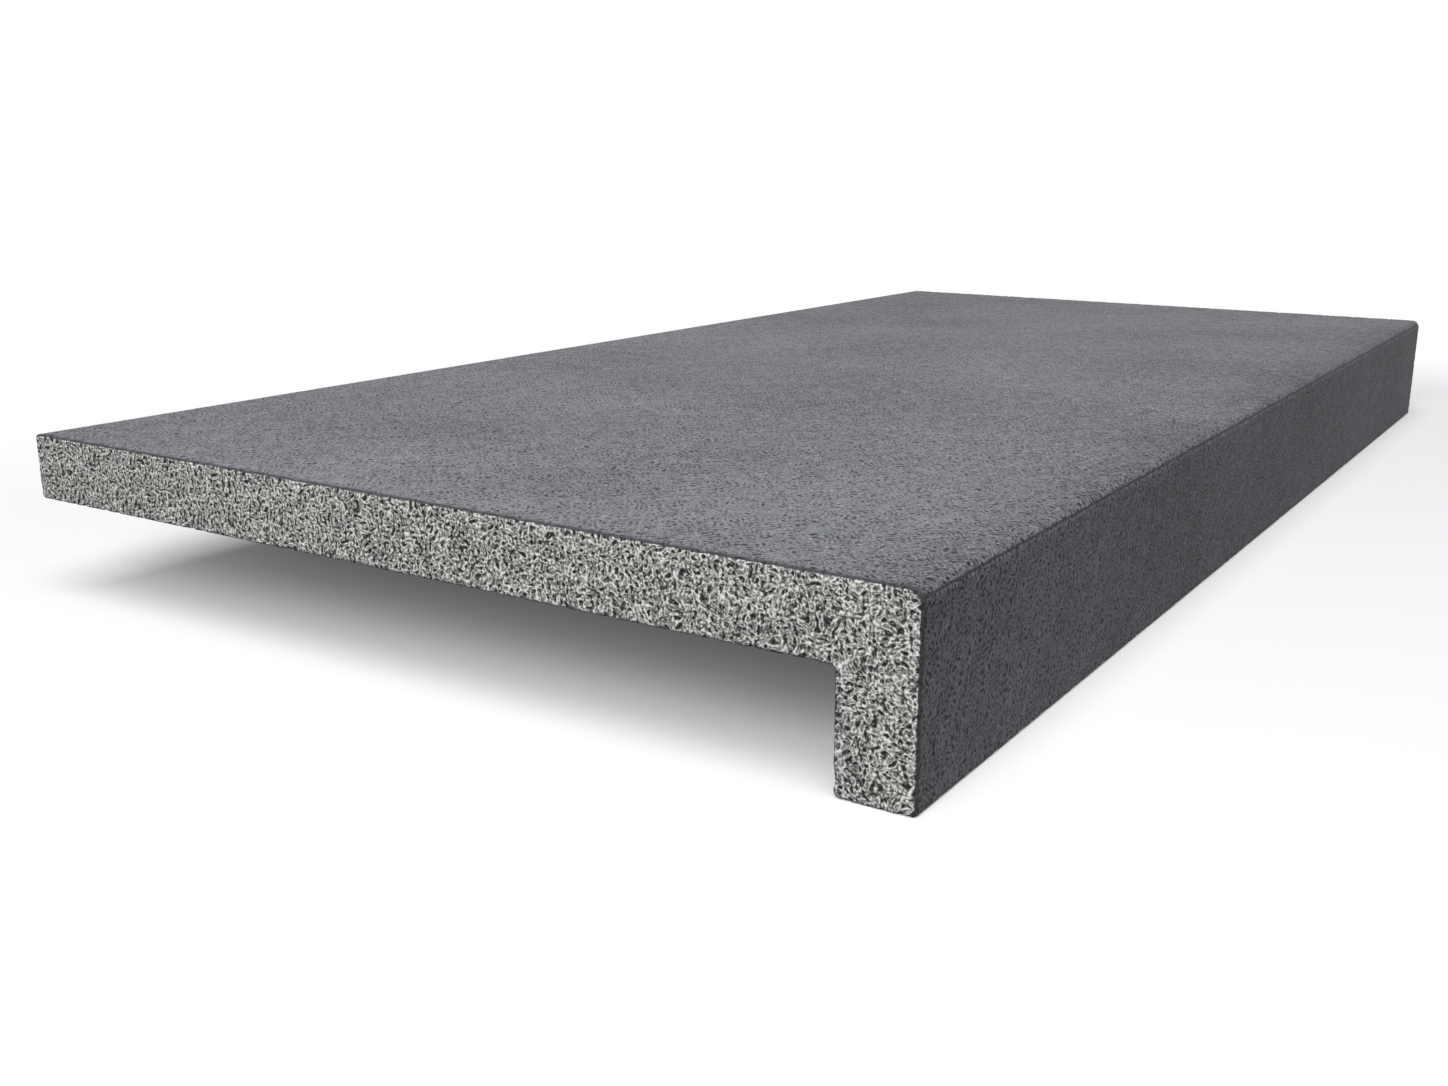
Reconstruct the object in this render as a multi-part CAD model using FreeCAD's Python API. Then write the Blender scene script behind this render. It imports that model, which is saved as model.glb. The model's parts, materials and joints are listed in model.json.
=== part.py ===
"""Drop-face pool coping stone: one L-shaped piece of dark grey natural stone.

A flat slab lies on the top of the pool wall, and its front edge turns down over the face of the wall.
Both are one piece of stone, sawn and ground from a thick block.

Frame, in millimetres:
    X runs along the pool edge, so the end faces are at -X and +X
    Y runs away from the water, so the pool face is at -Y and the back edge at +Y
    Z is up; the foot of the drop is at Z = 0, and the origin is midway along X and Y
"""

import FreeCAD
import Part

import math
import os

# Overall stock size
LENGTH = 900.0  # along the pool edge
DEPTH = 450.0  # from the pool face to the back edge
DROP_HEIGHT = 75.0  # height of the pool face, from the foot to the walking surface

# Wall thicknesses of the L
SLAB_THICKNESS = 30.0  # the walking slab
DROP_THICKNESS = 30.0  # the downturned edge

# Edges of the section
NOSE_RADIUS = 5.0  # pencil round where bathers hold and step
BACK_RADIUS = 2.0  # both edges of the back
INNER_RADIUS = 2.0  # left by the cutter in the internal corner
FOOT_INNER_RADIUS = 3.0  # foot of the drop, on the wall side
FOOT_OUTER_RADIUS = 1.5  # foot of the drop, on the pool side

# Eased edge round each end face
END_ARRIS = 1.0

X_AXIS = FreeCAD.Vector(1, 0, 0)


def section_corners():
    """The L section's corners as (y, z, radius), clockwise as seen from +X, from the nose."""
    pool_y = -DEPTH / 2
    back_y = DEPTH / 2
    wall_y = pool_y + DROP_THICKNESS
    under_z = DROP_HEIGHT - SLAB_THICKNESS
    return [
        (pool_y, DROP_HEIGHT, NOSE_RADIUS),
        (back_y, DROP_HEIGHT, BACK_RADIUS),
        (back_y, under_z, BACK_RADIUS),
        (wall_y, under_z, INNER_RADIUS),
        (wall_y, 0.0, FOOT_INNER_RADIUS),
        (pool_y, 0.0, FOOT_OUTER_RADIUS),
    ]


def rounded_corner(before, corner, after, radius):
    """Start, middle and end of the arc that rounds a corner, tangent to its two sides."""
    to_before = (before - corner).normalize()
    to_after = (after - corner).normalize()
    half_angle = to_before.getAngle(to_after) / 2
    bisector = (to_before + to_after).normalize()
    tangent_length = radius / math.tan(half_angle)
    centre = corner + bisector * (radius / math.sin(half_angle))
    start = corner + to_before * tangent_length
    end = corner + to_after * tangent_length
    middle = centre - bisector * radius
    return start, middle, end


def section_face(x):
    """The L section as a face at a place along the stone, its corners joined by tangent arcs."""
    corners = section_corners()
    points = [FreeCAD.Vector(x, y, z) for y, z, _ in corners]
    arcs = []
    for i, (_, _, radius) in enumerate(corners):
        after = points[(i + 1) % len(points)]
        arcs.append(rounded_corner(points[i - 1], points[i], after, radius))
    edges = []
    for i, (start, middle, end) in enumerate(arcs):
        next_start = arcs[(i + 1) % len(arcs)][0]
        edges.append(Part.Arc(start, middle, end).toShape())
        edges.append(Part.LineSegment(end, next_start).toShape())
    return Part.Face(Part.Wire(edges))


def end_face_edges(body):
    """Every edge that bounds one of the two end faces."""
    return [
        edge
        for face in body.Faces
        if abs(abs(face.CenterOfMass.x) - LENGTH / 2) < 1e-6
        for edge in face.Edges
    ]


def coping_stone():
    """The section run along the length of the stone, with the edges of its ends eased."""
    body = section_face(-LENGTH / 2).extrude(X_AXIS * LENGTH)
    return body.makeFillet(END_ARRIS, end_face_edges(body))


def main():
    os.makedirs("parts", exist_ok=True)
    stone = coping_stone()
    print("valid", stone.isValid(), "solids", len(stone.Solids), "faces", len(stone.Faces))
    print("volume, litres", round(stone.Volume / 1e6, 4))
    stone.exportStep("parts/coping_stone.step")


main()
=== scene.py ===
"""Looks of the drop-face pool coping stone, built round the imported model.

The stone is one piece. Its long faces are honed dark grey, and both its ends are sawn, where the grain
shows pale. Its skin is one mesh: a run of rings from the middle of one end face to the middle of the
other, close together at the ends and open along the length. Lengths are in metres.
"""

import json
import math
from dataclasses import dataclass

import bmesh
import bpy
from mathutils import Matrix, Vector


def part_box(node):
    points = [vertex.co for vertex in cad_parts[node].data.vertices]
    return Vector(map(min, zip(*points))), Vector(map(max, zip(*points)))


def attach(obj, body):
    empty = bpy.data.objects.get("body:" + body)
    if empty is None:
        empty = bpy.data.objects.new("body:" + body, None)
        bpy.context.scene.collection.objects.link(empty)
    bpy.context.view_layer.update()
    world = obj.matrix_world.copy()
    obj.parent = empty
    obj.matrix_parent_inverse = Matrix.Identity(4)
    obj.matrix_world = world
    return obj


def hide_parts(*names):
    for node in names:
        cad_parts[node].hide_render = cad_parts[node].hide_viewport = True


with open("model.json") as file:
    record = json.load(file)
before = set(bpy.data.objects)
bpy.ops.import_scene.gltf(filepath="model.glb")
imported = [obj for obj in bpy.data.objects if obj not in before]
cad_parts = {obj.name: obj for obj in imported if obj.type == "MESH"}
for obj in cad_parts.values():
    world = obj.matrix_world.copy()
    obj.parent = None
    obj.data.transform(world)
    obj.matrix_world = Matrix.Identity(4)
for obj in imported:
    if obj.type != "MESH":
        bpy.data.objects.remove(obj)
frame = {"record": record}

NODE = "coping_stone"
PIECE = "coping_stone_skin"
MM = 0.001

# Corner radii of the section, and the eased edge round each end face
NOSE_RADIUS = 5 * MM
BACK_RADIUS = 2 * MM
INNER_RADIUS = 2 * MM
FOOT_INNER_RADIUS = 3 * MM
FOOT_OUTER_RADIUS = 1.5 * MM
END_ARRIS = 1 * MM

# How close the skin's points are
FINE_SPACING = 0.85 * MM  # on the end faces
SPACING_GROWTH = 1.2  # from one ring to the next, away from an end
WIDEST_RING_STEP = 2 * MM
WIDEST_FLAT_STEP = 40 * MM
GUARD_STEP = 1 * MM  # from a rounded corner to the first point on the flat beside it
CORNER_SEGMENTS = 6
ARRIS_SEGMENTS = 3
WELD_DISTANCE = 0.001 * MM

# Attributes of the skin's points
PLACE = "rest_place"  # where the point was before the relief was cut
SAWN = "sawn"  # 1 on an end face, falling to 0 round its arris
EDGE_WEAR_AND_SHADE = "edge_wear_and_shade"  # 1 on an edge, falling to 0 beside it. It sets the chips of wear and the painted shade line along the edge

# Relief of the skin, cut into the stone
PORE_DEPTH = 0.5 * MM
EDGE_CHIP_DEPTH = 0.6 * MM
HONED_WAVE_DEPTH = 0.08 * MM  # a faint unevenness all over

# Finer relief, in the finish
SAWN_BUMP = 0.25 * MM
HONED_BUMP = 0.04 * MM

# Curled waves, made of sines in many directions over a bent space. They run from about -2 to 2
BEND_SHARE = 0.25  # bends for each wave
BEND_REACH = 2.7  # how far a bend shifts a wave, in waves
WAVE_TURNS = ((0.0, 0.0, 0.0), (0.7, 0.5, 0.3), (1.5, 2.2, 0.9), (2.4, 0.9, 1.7))
SINE_SPREAD = math.sqrt(0.5)  # of one sine, about its middle
SINES_IN_A_TURN = 3  # along x, y and z

# The grain: pale strands round the crests of the waves and dark pores in their troughs, all broken up
# by smaller ripples
STRAND_PERIOD = 2.4 * MM
RIPPLE_PERIOD = 1.6 * MM
FINE_PERIOD = 1.0 * MM
RIPPLE_RANGE = (-0.9, 0.9)
STRAND_WAVE = 0.3  # along the middle of a strand
STRAND_FADE = (0.0, 0.8)  # how far from that wave, at a strand's middle and at its edge
STRAND_OVER_RIPPLE = (0.35, 1.0)
PORE_WAVES = (-0.4, -1.4)  # at a pore's rim and at its bottom
PORE_OVER_RIPPLE = (1.0, 0.5)

# How pale the grain is: its base, and what each part adds to it
GRAIN_BASE = 0.36
STRAND_SHADE = 0.26
PORE_SHADE = -0.24
RIPPLE_SHADE = 0.04
FINE_SHADE = 0.05
PATCH_SHADE = 0.2
GRAIN_AVERAGE = 0.48  # over a whole face

# Patterns of noise, as (patches a metre, detail, roughness)
CLOUDS = (7.0, 3.0, 0.55)
PIT_PATCHES = (40.0, 2.0)
GRAIN_PATCHES = (130.0, 1.0)
NOSE_WAVER = (150.0, 2.0)
EDGE_BREAKS = (240.0, 2.0)
RAGGED_RIM = (700.0,)
NOISE_AVERAGE = 0.5  # of any of them

# Where in space each pattern is taken from, so that no two of them match
WAVES_FROM = (0.20, 0.50, 0.10)
RIPPLES_FROM = (0.61, 0.10, 0.40)
FINE_FROM = (0.31, 0.20, 0.70)
GRAIN_PATCHES_FROM = (0.90, 0.30, 0.20)
PIT_PATCHES_FROM = (0.55, 0.25, 0.65)
PATTERN_TILT = (0.55, 0.75, 0.4)

# Where a pattern starts and where it is full
CHIP_NOISE = (0.5, 0.7)
PIT_WAVES = (-2.2, -2.6)
PIT_PATCH_PULL = -1.5  # on the waves, so that the pits come in patches
RIM_FADE = (0.95, 1.1)  # from the honed look to the sawn one, at the rim of an end face
RIM_RAGGEDNESS = 0.5  # how far noise pushes that change out, at most

# Colours, as shares of the light given back
HONED_COLOUR = (0.174, 0.179, 0.194)
HONED_CONTRAST = 2.8
CLOUD_CONTRAST = 0.9
# Of the pits, and of the painted shade lines along the edges and the nose
PIT_AND_SHADE_LINE_COLOUR = (0.030, 0.031, 0.033, 1.0)
# Painted shade along the edges: how dark the painted line is at the arris
EDGE_PAINTED_SHADE = 0.8
EDGE_FADE = 2.2 * MM  # where the edge wear and the painted edge shade fade, over the honed faces, from the arris
POOL_SIDE_PAINTED_SHADE = 0.2  # painted shade: how much darker the pool face and the nose are made
POOL_SIDE_SHADE_FADE = (-222 * MM, -185 * MM)  # along Y, where that painted shade fades out over the top
# A painted shade line along the nose, where its rounding turns down to the pool face
NOSE_LINE_HEIGHT = 72.2 * MM
NOSE_LINE_DEPTH = -222 * MM
NOSE_LINE_WAVER = 1.0 * MM
NOSE_LINE_FADE = (0.2 * MM, 0.8 * MM)
NOSE_LINE_DARKNESS = 0.85
SAWN_COLOURS = (
    (0.20, (0.022, 0.023, 0.021, 1.0)),
    (0.35, (0.082, 0.084, 0.080, 1.0)),
    (0.50, (0.305, 0.314, 0.298, 1.0)),
    (0.65, (0.665, 0.682, 0.655, 1.0)),
    (0.85, (0.890, 0.900, 0.870, 1.0)),
)
HONED_ROUGHNESS = 0.68
SAWN_ROUGHNESS = 0.9
SPECULAR = 0.12

# The map of the skin, for its finish. Places on it are shares of its side
BAKE_MAP = "OFBake"
MAP_MARGIN = 0.01
END_GAP = 6 * MM  # between the two end faces, which are nested

# The camera, fitted to nine corners of the stone in the photograph
PHOTO_WIDTH = 1448
FOCAL_PIXELS = 1464.4
CENTRE_SHIFT_PIXELS = 40
CAMERA_PLACE = (-0.8316, -0.4073, 0.2009)
CAMERA_LOOK = (0.8193, 0.5126, -0.2568)
CAMERA_UP = (0.2140, 0.1421, 0.9664)
SENSOR_WIDTH = 36.0

# Light, as how bright each source makes a white surface that faces it
SKY_LIGHT = 0.12
OVERHEAD_LIGHT = 0.61
OVERHEAD_SPREAD = math.radians(50)
OVERHEAD_FROM = (-0.35, -0.18, 1.0)
END_LIGHT = 0.69
END_LAMP_PLACE = (-1.9, -0.45, 1.0)
END_LAMP_SIZE = 1.0
UNDER_LIGHT = 0.5  # up from the floor under the stone, so that the underside shows from below

# The stage
WHITE = (1.0, 1.0, 1.0, 1.0)
SEEN_RAYS = ("Is Camera Ray", "Is Glossy Ray", "Is Transmission Ray")  # the others light the stone
SECOND_BOUNCE = 2
FLOOR_SIZE = 12.0
FLOOR_COLOUR = (0.92, 0.92, 0.92, 1.0)
FLOOR_GLOW = 0.088  # lightens the shadow that is seen
FLOOR_BOUNCE = (0.11, 0.11, 0.11, 1.0)  # the floor's colour, as the stone is lit by it
SHADOW_REACH = 0.1  # past the stone's sides, where the floor starts to turn to pure white
WHITE_REACH = 0.4  # past the stone's sides, where it is pure white


# The section of the stone


def section_corners(frame_box, faces):
    """The L section's corners as (y, z, radius, inward), clockwise as seen from +X, from the nose."""
    low, high = frame_box
    under_z = faces["bedding_face"].z
    wall_y = faces["wall_face"].y
    return [
        (low.y, high.z, NOSE_RADIUS, (1, -1)),
        (high.y, high.z, BACK_RADIUS, (-1, -1)),
        (high.y, under_z, BACK_RADIUS, (-1, 1)),
        (wall_y, under_z, INNER_RADIUS, (-1, 1)),
        (wall_y, low.z, FOOT_INNER_RADIUS, (-1, 1)),
        (low.y, low.z, FOOT_OUTER_RADIUS, (1, 1)),
    ]


def corner_arc(before, corner, after, radius):
    """Points of the arc that rounds a right-angled corner, each with how much edge wear and painted edge
    shade it takes, from 0 to 1.
    """
    back = (before - corner).normalized() * radius
    on = (after - corner).normalized() * radius
    centre = corner + back + on
    points = []
    for i in range(CORNER_SEGMENTS + 1):
        turn = math.pi / 2 * i / CORNER_SEGMENTS
        points.append((centre - on * math.cos(turn) - back * math.sin(turn), math.sin(2 * turn)))
    return points


def flat_run(start, end, spacing):
    """Points of a flat between two rounded corners, with a guard point beside each corner."""
    length = (end - start).length
    guard = min(GUARD_STEP, length / 3)
    steps = max(1, round((length - 2 * guard) / spacing))
    distances = [guard + (length - 2 * guard) * i / steps for i in range(steps + 1)]
    along = (end - start).normalized()
    inner = [(start + along * distance, 0.0) for distance in distances]
    return [(start, 0.0), *inner, (end, 0.0)]


def half_wall(corners):
    """Half the thickness of the slab, which is also half that of the drop."""
    return (corners[0][1] - corners[2][1]) / 2


def outline(corners, inset, spacing):
    """The section moved inwards by an inset, as runs of points: from each corner an arc, then a flat."""
    rounding = 1 - inset / half_wall(corners)
    places = [Vector((y + inset * side_y, z + inset * side_z)) for y, z, _, (side_y, side_z) in corners]
    arcs = []
    for i, (_, _, radius, _) in enumerate(corners):
        after = places[(i + 1) % len(places)]
        arcs.append(corner_arc(places[i - 1], places[i], after, radius * rounding))
    runs = []
    for i, arc in enumerate(arcs):
        next_start = arcs[(i + 1) % len(arcs)][0][0]
        runs.append(arc)
        runs.append(flat_run(arc[-1][0], next_start, spacing))
    return runs


# The skin


@dataclass
class Ring:
    """A turn round the stone, and what its points have in common."""

    distance: float  # in from the plane of the end
    inset: float  # in from the section's outline
    spacing: float  # from point to point
    travel: float  # over the skin from the rim of the end face
    sawn: float = 0.0
    # edge wear, which also sets the painted shade line along the edge
    edge_wear_and_shade: float = 0.0


def end_rings(wall_middle):
    """Rings of an end face, from the middle line of the wall out to the rim."""
    steps = math.ceil((wall_middle - END_ARRIS) / FINE_SPACING)
    insets = [wall_middle - (wall_middle - END_ARRIS) * i / steps for i in range(steps)]
    return [Ring(0.0, inset, FINE_SPACING, 0.0, sawn=1.0) for inset in insets]


def arris_rings():
    """Rings round the eased edge of an end, from the rim of the end face to the honed faces."""
    rings = []
    for i in range(ARRIS_SEGMENTS + 1):
        turn = math.pi / 2 * i / ARRIS_SEGMENTS
        rings.append(
            Ring(
                distance=END_ARRIS * (1 - math.cos(turn)),
                inset=END_ARRIS * (1 - math.sin(turn)),
                spacing=FINE_SPACING,
                travel=END_ARRIS * turn,
                sawn=1 - i / ARRIS_SEGMENTS,
                edge_wear_and_shade=min(1.0, 2 * math.sin(turn)),
            )
        )
    return rings


def length_rings(half_length):
    """Rings along the stone, more and more open, from the arris to the middle of the stone."""
    steps = []
    spacings = []
    spacing = FINE_SPACING
    while sum(steps) < half_length - END_ARRIS:
        steps.append(min(spacing, WIDEST_RING_STEP))
        spacing = min(spacing * SPACING_GROWTH, WIDEST_FLAT_STEP)
        spacings.append(spacing)
    fit = (half_length - END_ARRIS) / sum(steps)
    rings = []
    distance = END_ARRIS
    for step, spacing in zip(steps, spacings):
        distance += step * fit
        past_arris = distance - END_ARRIS
        travel = END_ARRIS * math.pi / 2 + past_arris
        rings.append(Ring(distance, 0.0, spacing, travel, edge_wear_and_shade=max(0.0, 1 - past_arris / EDGE_FADE)))
    return rings


class Skin:
    """The stone's skin as points and triangles, added ring by ring along X."""

    def __init__(self, corners, low, high):
        self.corners = corners
        self.low = low
        self.high = high
        self.starts = self.run_starts()
        self.points = []
        self.sawn = []
        self.edge_wear_and_shade = []
        self.triangles = []
        self.map_places = []

    def run_starts(self):
        """How far round the section each run of the outline starts, and the whole way round."""
        starts = [0.0]
        for run in outline(self.corners, 0.0, WIDEST_FLAT_STEP):
            length = sum((b[0] - a[0]).length for a, b in zip(run, run[1:]))
            starts.append(starts[-1] + length)
        return starts

    def add_ring(self, ring, side):
        """Adds a ring's points, and gives its runs as (point number, way round, travel).

        The last point of each run is the next run's first. The first run is the nose, which gets no edge
        wear or painted edge shade along the stone, because it has a painted shade line of its own.
        """
        x = self.low.x + ring.distance if side < 0 else self.high.x - ring.distance
        first = len(self.points)
        runs = []
        outline_runs = outline(self.corners, ring.inset, ring.spacing)
        for k, run in enumerate(outline_runs):
            numbered = []
            for i, (place, corner_wear_and_shade) in enumerate(run):
                if i < len(run) - 1:
                    number = len(self.points)
                    self.points.append((x, place.x, place.y))
                    self.sawn.append(ring.sawn)
                    self.edge_wear_and_shade.append(max(ring.edge_wear_and_shade, corner_wear_and_shade if k > 0 else 0.0))
                else:
                    number = first if k == len(outline_runs) - 1 else len(self.points)
                share = i / (len(run) - 1)
                round_way = self.starts[k] + (self.starts[k + 1] - self.starts[k]) * share
                numbered.append((number, round_way, ring.travel))
            runs.append(numbered)
        return runs

    def join(self, runs, next_runs, place_on_map):
        """Fills the band between two rings with triangles that face outwards."""
        for run, next_run in zip(runs, next_runs):
            for corners in band_triangles(run, next_run):
                self.triangles.append([number for number, _, _ in corners])
                for number, way, travel in corners:
                    self.map_places.append(place_on_map(self.points[number], way, travel))

    def end_place(self, side):
        """A function that puts points of an end face on the map, and how far up the map they reach.

        The far end is turned round there, to nest with the near one.
        """
        wide = self.high.y - self.low.y + 2 * half_wall(self.corners) + END_GAP
        scale = (1 - 2 * MAP_MARGIN) / wide

        def place(point, way, travel):
            _, y, z = point
            if side < 0:
                across, up = y - self.low.y, z - self.low.z
            else:
                across, up = wide - (y - self.low.y), self.high.z - z
            return MAP_MARGIN + across * scale, MAP_MARGIN + up * scale

        return place, MAP_MARGIN + (self.high.z - self.low.z) * scale

    def side_place(self, side, bottom):
        """A function that puts points of the honed faces on the map, above the end faces."""
        wide = (1 - 2 * MAP_MARGIN) / self.starts[-1]
        long_way = self.high.x - self.low.x + END_ARRIS * (math.pi - 2)
        tall = (1 - MAP_MARGIN - bottom) / long_way

        def place(point, way, travel):
            up = travel if side < 0 else long_way - travel
            return MAP_MARGIN + way * wide, bottom + up * tall

        return place


def band_triangles(run, next_run):
    """Triangles between two runs that start and end side by side, whatever their numbers of points."""
    i = j = 0
    last_i = len(run) - 1
    last_j = len(next_run) - 1
    while i < last_i or j < last_j:
        if j == last_j or (i < last_i and (i + 1) * last_j <= (j + 1) * last_i):
            yield run[i], next_run[j], run[i + 1]
            i += 1
        else:
            yield run[i], next_run[j], next_run[j + 1]
            j += 1


def build_skin(corners, low, high):
    """The whole skin, from the middle of the near end face to the middle of the far one."""
    skin = Skin(corners, low, high)
    half_length = (high.x - low.x) / 2
    face = end_rings(half_wall(corners)) + arris_rings()[:1]
    sides = arris_rings() + length_rings(half_length)
    for side in (-1, 1):
        end_place, end_top = skin.end_place(side)
        side_place = skin.side_place(side, end_top + MAP_MARGIN)
        bands = [(face, end_place), (sides, side_place)]
        for rings, place_on_map in bands:
            added = [skin.add_ring(ring, side) for ring in rings]
            for inner, outer in zip(added, added[1:]):
                if side < 0:
                    skin.join(inner, outer, place_on_map)
                else:
                    skin.join(outer, inner, place_on_map)
    return skin


def skin_mesh(skin):
    """The skin as a closed mesh with its attributes and its map."""
    mesh = bpy.data.meshes.new(PIECE)
    mesh.from_pydata(skin.points, [], skin.triangles)
    layer = mesh.uv_layers.new(name=BAKE_MAP)
    layer.uv.foreach_set("vector", [value for place in skin.map_places for value in place])
    place = mesh.attributes.new(PLACE, "FLOAT_VECTOR", "POINT")
    place.data.foreach_set("vector", [value for point in skin.points for value in point])
    for name, values in ((SAWN, skin.sawn), (EDGE_WEAR_AND_SHADE, skin.edge_wear_and_shade)):
        mesh.attributes.new(name, "FLOAT", "POINT").data.foreach_set("value", values)
    weld(mesh)
    mesh.shade_smooth()
    return mesh


def weld(mesh):
    """Merges the points that bands share."""
    work = bmesh.new()
    work.from_mesh(mesh)
    bmesh.ops.remove_doubles(work, verts=work.verts, dist=WELD_DISTANCE)
    work.to_mesh(mesh)
    work.free()


# Node trees


class Nodes:
    """Adds nodes to a tree. What each call gives back is the new node's output."""

    def __init__(self, tree):
        self.tree = tree

    def add(self, kind, output, values, **settings):
        """A node with these settings, its inputs set or linked by name or number."""
        node = self.tree.nodes.new(kind)
        for name, value in settings.items():
            setattr(node, name, value)
        for key, value in values.items():
            if isinstance(value, bpy.types.NodeSocket):
                self.tree.links.new(value, node.inputs[key])
            else:
                node.inputs[key].default_value = value
        return node.outputs[output]

    def math(self, operation, a, b=0.0, c=0.0):
        """A sum with numbers."""
        return self.add("ShaderNodeMath", 0, {0: a, 1: b, 2: c}, operation=operation)

    def vector(self, operation, a, b=(0.0, 0.0, 0.0), c=(0.0, 0.0, 0.0), **values):
        """A sum with vectors."""
        output = "Value" if operation == "DOT_PRODUCT" else "Vector"
        return self.add("ShaderNodeVectorMath", output, {0: a, 1: b, 2: c, **values}, operation=operation)

    def total(self, start, *parts):
        """A number and values, each times its weight, added up."""
        result = start
        for value, weight in parts:
            result = self.math("MULTIPLY_ADD", value, weight, result)
        return result

    def step(self, value, low, high, from_value=0.0, to_value=1.0):
        """A smooth step between two values, from low to high, or falling where high is under low."""
        inputs = {0: value, 1: low, 2: high, 3: from_value, 4: to_value}
        return self.add("ShaderNodeMapRange", 0, inputs, interpolation_type="SMOOTHSTEP")

    def between(self, factor, a, b):
        """A number between two."""
        return self.add("ShaderNodeMix", 0, {0: factor, 2: a, 3: b}, data_type="FLOAT")

    def mix(self, factor, a, b):
        """A colour between two."""
        return self.add("ShaderNodeMix", 2, {0: factor, 6: a, 7: b}, data_type="RGBA")

    def parts(self, place):
        """The x, y and z of a place."""
        node = self.tree.nodes.new("ShaderNodeSeparateXYZ")
        self.tree.links.new(place, node.inputs[0])
        return node.outputs

    def turned(self, place, angles):
        """A place turned round the origin."""
        values = {"Vector": place, "Rotation": angles}
        return self.add("ShaderNodeVectorRotate", 0, values, rotation_type="EULER_XYZ")

    def tilted(self, place):
        """The place turned off the stone's own axes, so that no face lies along a pattern's grid."""
        return self.turned(place, PATTERN_TILT)

    def noise(self, place, scale, detail=0.0, roughness=0.5, output="Fac"):
        """Soft random patches, from 0 to 1."""
        values = {"Vector": place, "Scale": scale, "Detail": detail, "Roughness": roughness}
        return self.add("ShaderNodeTexNoise", output, values)

    def curls(self, place, period):
        """Short curled waves with no direction of their own and about this long."""
        bend = self.noise(place, BEND_SHARE / period, output="Color")
        bent = self.vector("MULTIPLY_ADD", bend, (BEND_REACH * period,) * 3, place)
        phase = self.vector("SCALE", bent, Scale=2 * math.pi / period)
        waves = (0.0, 0.0, 0.0)
        for angles in WAVE_TURNS:
            waves = self.vector("ADD", self.vector("SINE", self.turned(phase, angles)), waves)
        spread = SINE_SPREAD * math.sqrt(SINES_IN_A_TURN * len(WAVE_TURNS))
        return self.vector("DOT_PRODUCT", waves, (1 / spread,) * 3)

    def ramp(self, value, stops):
        """Colours along a value, from (place, colour) stops."""
        node = self.tree.nodes.new("ShaderNodeValToRGB")
        self.tree.links.new(value, node.inputs[0])
        elements = node.color_ramp.elements
        while len(elements) < len(stops):
            elements.new(0.5)
        for element, (position, colour) in zip(elements, stops):
            element.position = position
            element.color = colour
        return node.outputs[0]

    def matt(self, colour):
        """A shader that gives back light evenly."""
        return self.add("ShaderNodeBsdfDiffuse", 0, {"Color": colour})

    def glow(self, strength):
        """A shader that gives white light of its own."""
        return self.add("ShaderNodeEmission", 0, {"Color": WHITE, "Strength": strength})

    def both(self, a, b):
        """Two shaders added up."""
        return self.add("ShaderNodeAddShader", 0, {0: a, 1: b})

    def either(self, factor, a, b):
        """A shader between two."""
        return self.add("ShaderNodeMixShader", 0, {0: factor, 1: a, 2: b})

    def finish(self, kind, shader):
        """Gives a shader to the tree's output."""
        self.tree.links.new(shader, self.tree.nodes.new(kind).inputs["Surface"])


def emptied(owner):
    """The node tree of a material or world, cleared."""
    owner.use_nodes = True
    owner.node_tree.nodes.clear()
    return Nodes(owner.node_tree)


# The patterns of the stone


def grain_waves(nodes, place):
    """The waves that the grain follows, and the smaller ripples that break them up."""
    start = nodes.tilted(place)
    waves = nodes.curls(nodes.vector("ADD", start, WAVES_FROM), STRAND_PERIOD)
    ripples = nodes.curls(nodes.vector("ADD", start, RIPPLES_FROM), RIPPLE_PERIOD)
    return waves, ripples


def grain_pores(nodes, waves, ripples):
    """How deep a place is in a dark pore, from 0 to 1. The pores lie in the troughs of the waves."""
    trough = nodes.step(waves, *PORE_WAVES)
    return nodes.math("MULTIPLY", trough, nodes.step(ripples, *RIPPLE_RANGE, *PORE_OVER_RIPPLE))


def grain_shade(nodes, place, waves, ripples, pore):
    """How pale the grain is, from about 0.2 to 0.8. The pale strands run round the crests of the waves."""
    off_strand = nodes.math("ABSOLUTE", nodes.math("SUBTRACT", waves, STRAND_WAVE))
    unbroken = nodes.step(ripples, *RIPPLE_RANGE, *STRAND_OVER_RIPPLE)
    strand = nodes.math("MULTIPLY", nodes.step(off_strand, *STRAND_FADE, 1.0, 0.0), unbroken)
    start = nodes.tilted(place)
    fine = nodes.curls(nodes.vector("ADD", start, FINE_FROM), FINE_PERIOD)
    patches = nodes.noise(nodes.vector("ADD", start, GRAIN_PATCHES_FROM), *GRAIN_PATCHES)
    return nodes.total(
        GRAIN_BASE,
        (strand, STRAND_SHADE),
        (pore, PORE_SHADE),
        (ripples, RIPPLE_SHADE),
        (fine, FINE_SHADE),
        (patches, PATCH_SHADE),
    )


def clouds(nodes, place):
    """Broad patches of a honed face, from about 0.3 to 0.7."""
    return nodes.noise(nodes.tilted(place), *CLOUDS)


def edge_chips(nodes, place):
    """Small breaks along an edge, from 0 to 1."""
    return nodes.step(nodes.noise(nodes.tilted(place), *EDGE_BREAKS), *CHIP_NOISE)


def open_pits(nodes, place, waves):
    """Small pits, in patches, where the troughs of the waves are deepest, from 0 to 1."""
    start = nodes.vector("ADD", nodes.tilted(place), PIT_PATCHES_FROM)
    patches = nodes.noise(start, *PIT_PATCHES)
    return nodes.step(nodes.total(0.0, (waves, 1.0), (patches, PIT_PATCH_PULL)), *PIT_WAVES)


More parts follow.
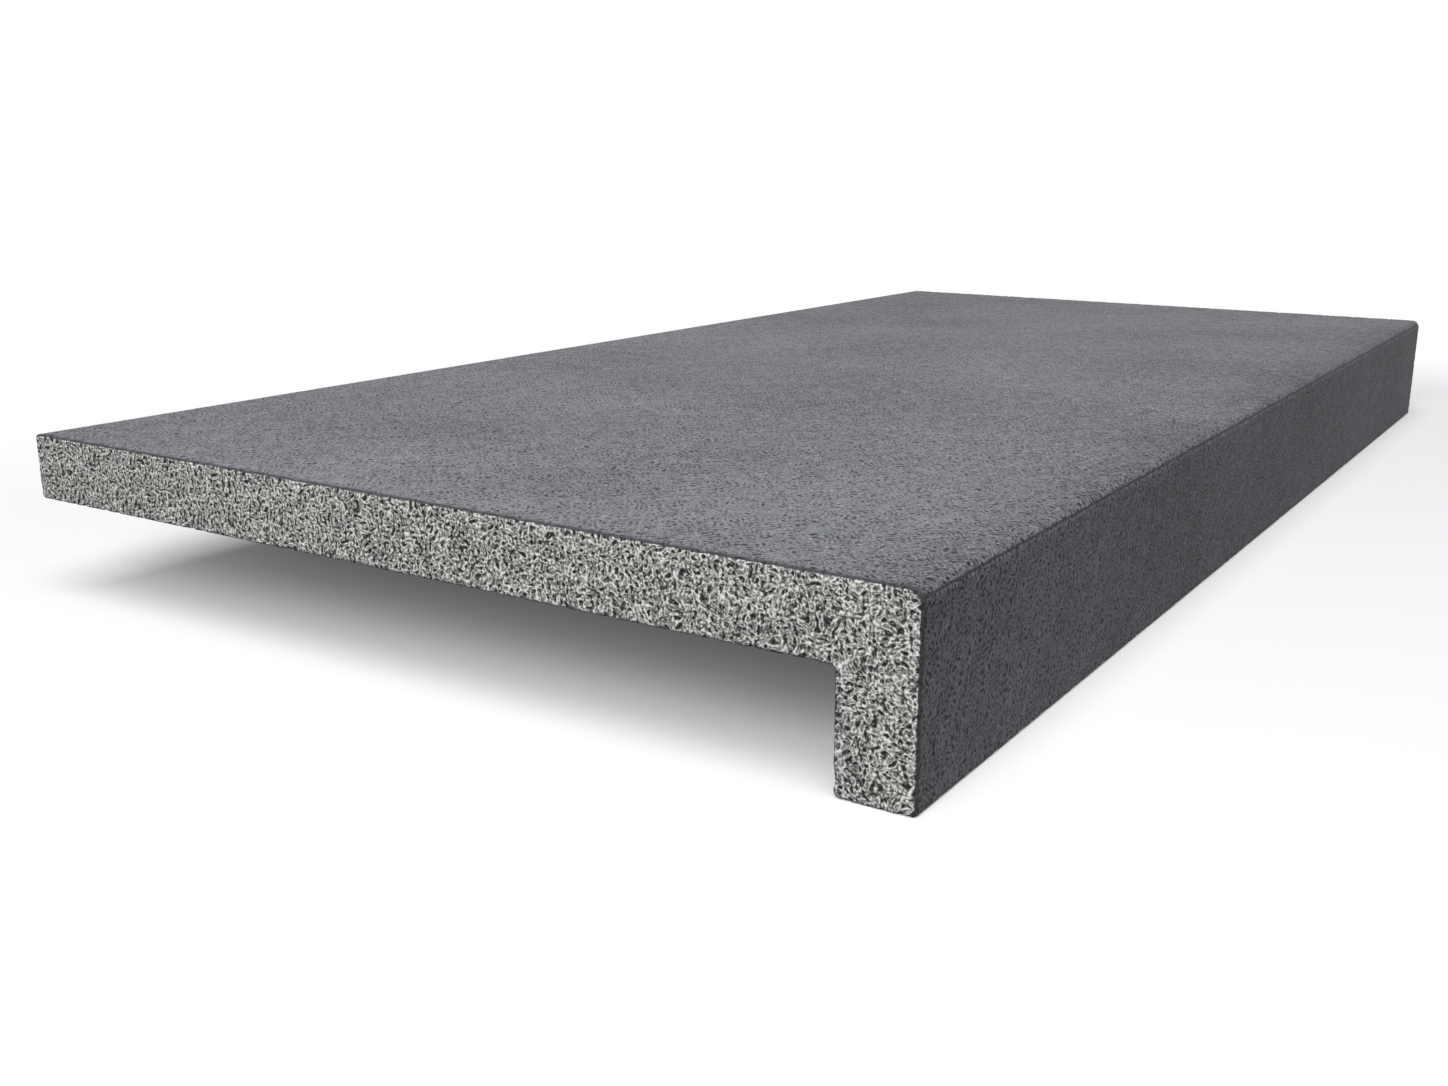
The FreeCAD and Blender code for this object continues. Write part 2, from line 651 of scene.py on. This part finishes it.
def nose_shade_line(nodes, place):
    """A painted shade line along the nose, thin and dark, where its rounding meets the pool face."""
    _, y, z = nodes.parts(place)
    waver = nodes.noise(nodes.tilted(place), *NOSE_WAVER)
    middle = NOSE_LINE_HEIGHT + NOISE_AVERAGE * NOSE_LINE_WAVER
    off = nodes.math("ABSOLUTE", nodes.total(-middle, (z, 1.0), (waver, NOSE_LINE_WAVER)))
    line = nodes.step(off, *NOSE_LINE_FADE, NOSE_LINE_DARKNESS, 0.0)
    return nodes.math("MULTIPLY", line, nodes.math("LESS_THAN", y, NOSE_LINE_DEPTH))


# The relief


def named_attribute(nodes, name, kind):
    """An attribute of the mesh, as geometry nodes read it."""
    return nodes.add("GeometryNodeInputNamedAttribute", 0, {"Name": name}, data_type=kind)


def relief_group():
    """Geometry nodes that cut pores into the sawn ends, chips into the edges and a faint wave all over."""
    group = bpy.data.node_groups.new("stone_relief", "GeometryNodeTree")
    group.interface.new_socket("Geometry", in_out="INPUT", socket_type="NodeSocketGeometry")
    group.interface.new_socket("Geometry", in_out="OUTPUT", socket_type="NodeSocketGeometry")
    nodes = Nodes(group)
    given = group.nodes.new("NodeGroupInput").outputs[0]
    place = named_attribute(nodes, PLACE, "FLOAT_VECTOR")
    sawn = named_attribute(nodes, SAWN, "FLOAT")
    edge_wear_and_shade = named_attribute(nodes, EDGE_WEAR_AND_SHADE, "FLOAT")

    pore = grain_pores(nodes, *grain_waves(nodes, place))
    depth = nodes.total(
        0.0,
        (nodes.math("MULTIPLY", sawn, pore), PORE_DEPTH),
        (nodes.math("MULTIPLY", edge_wear_and_shade, edge_chips(nodes, place)), EDGE_CHIP_DEPTH),
        (clouds(nodes, place), HONED_WAVE_DEPTH),
    )
    normal = nodes.add("GeometryNodeInputNormal", 0, {})
    offset = nodes.vector("SCALE", normal, Scale=nodes.math("MULTIPLY", depth, -1.0))
    cut = nodes.add("GeometryNodeSetPosition", 0, {"Geometry": given, "Offset": offset})
    group.links.new(cut, group.nodes.new("NodeGroupOutput").inputs[0])
    return group


def cut_relief(piece):
    """Cuts the relief into a piece's mesh for good."""
    modifier = piece.modifiers.new("relief", "NODES")
    modifier.node_group = relief_group()
    graph = bpy.context.evaluated_depsgraph_get()
    cut = piece.evaluated_get(graph)
    mesh = bpy.data.meshes.new_from_object(cut, preserve_all_data_layers=True, depsgraph=graph)
    piece.modifiers.clear()
    mesh.name = PIECE
    piece.data = mesh


# The finish


def honed_finish(nodes, place, waves, shade, edge_wear_and_shade):
    """The grain ground flat: faint strands, small open pits and broad clouds, painted shade over the pool
    face and the nose, and painted dark shade lines on edges and along the nose.
    """
    _, y, _ = nodes.parts(place)
    strength = nodes.total(
        1.0 - GRAIN_AVERAGE * HONED_CONTRAST - NOISE_AVERAGE * CLOUD_CONTRAST,
        (shade, HONED_CONTRAST),
        (clouds(nodes, place), CLOUD_CONTRAST),
        # Painted shade over the pool face and the nose
        (nodes.step(y, *POOL_SIDE_SHADE_FADE, 1.0, 0.0), -POOL_SIDE_PAINTED_SHADE),
    )
    ground = nodes.vector("SCALE", HONED_COLOUR, Scale=strength)
    pitted = nodes.mix(open_pits(nodes, place, waves), ground, PIT_AND_SHADE_LINE_COLOUR)
    # Painted shade lines along the edges and the nose, in the colour of the pits
    edge_shade = nodes.math("MULTIPLY", edge_wear_and_shade, EDGE_PAINTED_SHADE)
    return nodes.mix(nodes.math("MAXIMUM", edge_shade, nose_shade_line(nodes, place)), pitted, PIT_AND_SHADE_LINE_COLOUR)


def stone_finish():
    """Honed faces and sawn ends of one dark grey stone."""
    material = bpy.data.materials.new("grey_stone")
    nodes = emptied(material)
    place = nodes.add("ShaderNodeAttribute", "Vector", {}, attribute_name=PLACE)
    sawn_points = nodes.add("ShaderNodeAttribute", "Fac", {}, attribute_name=SAWN)
    edge_wear_and_shade = nodes.add("ShaderNodeAttribute", "Fac", {}, attribute_name=EDGE_WEAR_AND_SHADE)
    ragged = nodes.noise(nodes.tilted(place), *RAGGED_RIM)
    sawn = nodes.step(nodes.total(0.0, (sawn_points, 1.0), (ragged, RIM_RAGGEDNESS)), *RIM_FADE)

    waves, ripples = grain_waves(nodes, place)
    pore = grain_pores(nodes, waves, ripples)
    shade = grain_shade(nodes, place, waves, ripples, pore)
    honed_colour = honed_finish(nodes, place, waves, shade, edge_wear_and_shade)
    colour = nodes.mix(sawn, honed_colour, nodes.ramp(shade, SAWN_COLOURS))

    height = nodes.math("MULTIPLY", pore, nodes.between(sawn, -HONED_BUMP, -SAWN_BUMP))
    bump = nodes.add("ShaderNodeBump", 0, {"Height": height, "Distance": 1.0, "Strength": 1.0})
    roughness = nodes.between(sawn, HONED_ROUGHNESS, SAWN_ROUGHNESS)
    values = {"Base Color": colour, "Roughness": roughness, "Normal": bump, "Specular IOR Level": SPECULAR}
    nodes.finish("ShaderNodeOutputMaterial", nodes.add("ShaderNodeBsdfPrincipled", 0, values))
    return material


# The stage


def light_paths(nodes, names):
    """1 for a ray of any of these kinds."""
    found = 0.0
    for name in names:
        ray = nodes.add("ShaderNodeLightPath", name, {})
        found = nodes.math("MAXIMUM", ray, found)
    return found


def white_world():
    """A white backdrop that lights the stone only softly."""
    world = bpy.data.worlds.new("studio")
    bpy.context.scene.world = world
    nodes = emptied(world)
    strength = nodes.between(light_paths(nodes, SEEN_RAYS), SKY_LIGHT, 1.0)
    values = {"Color": WHITE, "Strength": strength}
    nodes.finish("ShaderNodeOutputWorld", nodes.add("ShaderNodeBackground", 0, values))


def overhead_sun():
    """A broad soft light from above, the same all over the stage."""
    data = bpy.data.lights.new("overhead", "SUN")
    data.energy = OVERHEAD_LIGHT * math.pi
    data.angle = OVERHEAD_SPREAD
    lamp = bpy.data.objects.new("overhead", data)
    lamp.rotation_euler = Vector(OVERHEAD_FROM).to_track_quat("Z", "Y").to_euler()
    bpy.context.scene.collection.objects.link(lamp)


def end_lamp(aim):
    """A soft lamp in front of the near end, aimed at it."""
    place = Vector(END_LAMP_PLACE)
    data = bpy.data.lights.new("end_lamp", "AREA")
    data.shape = "DISK"
    data.size = END_LAMP_SIZE
    data.energy = END_LIGHT * math.pi**2 * (place - aim).length_squared
    lamp = bpy.data.objects.new("end_lamp", data)
    lamp.location = place
    lamp.rotation_euler = (place - aim).to_track_quat("Z", "Y").to_euler()
    bpy.context.scene.collection.objects.link(lamp)


def seen_floor(nodes, past):
    """The floor as it is seen: pale round the stone, where its shadow lies, and pure white further off."""
    near = nodes.both(nodes.matt(FLOOR_COLOUR), nodes.glow(FLOOR_GLOW))
    return nodes.either(nodes.step(past, SHADOW_REACH, WHITE_REACH), near, nodes.glow(1.0))


def lighting_floor(nodes, past):
    """The floor as the stone is lit by it: a weak bounce, and under the stone a light of its own.

    That light counts only on what is seen straight, at the first bounce, so the stone's shadow on the
    floor stays as dark as without it.
    """
    bounces = nodes.add("ShaderNodeLightPath", "Ray Depth", {})
    is_first = nodes.math("LESS_THAN", bounces, SECOND_BOUNCE)
    under = nodes.math("MULTIPLY", nodes.math("LESS_THAN", past, 0.0), is_first)
    light = nodes.glow(nodes.math("MULTIPLY", under, UNDER_LIGHT))
    return nodes.both(nodes.matt(FLOOR_BOUNCE), light)


def floor_finish(half_length, half_depth):
    """The floor's two looks, each for its own rays. From below it is clear."""
    material = bpy.data.materials.new("studio_floor")
    nodes = emptied(material)
    place = nodes.vector("ABSOLUTE", nodes.add("ShaderNodeNewGeometry", "Position", {}))
    past_x, past_y, _ = nodes.parts(nodes.vector("SUBTRACT", place, (half_length, half_depth, 0.0)))
    past = nodes.math("MAXIMUM", past_x, past_y)
    is_seen = light_paths(nodes, SEEN_RAYS)
    above = nodes.either(is_seen, lighting_floor(nodes, past), seen_floor(nodes, past))
    clear = nodes.add("ShaderNodeBsdfTransparent", 0, {})
    below = nodes.add("ShaderNodeNewGeometry", "Backfacing", {})
    nodes.finish("ShaderNodeOutputMaterial", nodes.either(below, above, clear))
    return material


def floor(low, high):
    """A pale floor under the stone, whose lowest and highest corners these are."""
    half = FLOOR_SIZE / 2
    corners = [(-half, -half, 0), (half, -half, 0), (half, half, 0), (-half, half, 0)]
    mesh = bpy.data.meshes.new("studio_floor")
    mesh.from_pydata(corners, [], [(0, 1, 2, 3)])
    mesh.materials.append(floor_finish(high.x, high.y))
    ground = bpy.data.objects.new("studio_floor", mesh)
    ground.location.z = low.z
    bpy.context.scene.collection.objects.link(ground)


def camera():
    """The photograph's view of the stone."""
    data = bpy.data.cameras.new("photo_view")
    data.sensor_width = SENSOR_WIDTH
    data.lens = FOCAL_PIXELS / PHOTO_WIDTH * SENSOR_WIDTH
    data.shift_x = -CENTRE_SHIFT_PIXELS / PHOTO_WIDTH
    look = Vector(CAMERA_LOOK).normalized()
    right = look.cross(Vector(CAMERA_UP)).normalized()
    up = right.cross(look)
    view = bpy.data.objects.new("photo_view", data)
    turn = Matrix((right, up, -look)).transposed().to_4x4()
    view.matrix_world = Matrix.Translation(CAMERA_PLACE) @ turn
    bpy.context.scene.collection.objects.link(view)
    bpy.context.scene.camera = view


def main():
    """Builds the piece and its stage."""
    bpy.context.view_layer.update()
    bpy.context.scene.view_settings.view_transform = "Standard"

    low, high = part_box(NODE)
    faces = {mount["name"]: Vector(mount["pos_m"]) for mount in frame["record"]["mounts"]}
    skin = build_skin(section_corners((low, high), faces), low, high)
    stone = bpy.data.objects.new(PIECE, skin_mesh(skin))
    bpy.context.scene.collection.objects.link(stone)
    cut_relief(stone)
    stone.data.materials.clear()
    stone.data.materials.append(stone_finish())
    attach(stone, "root")
    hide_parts(NODE)

    floor(low, high)
    white_world()
    overhead_sun()
    end_lamp(faces["end_face_low_x"])
    camera()


main()
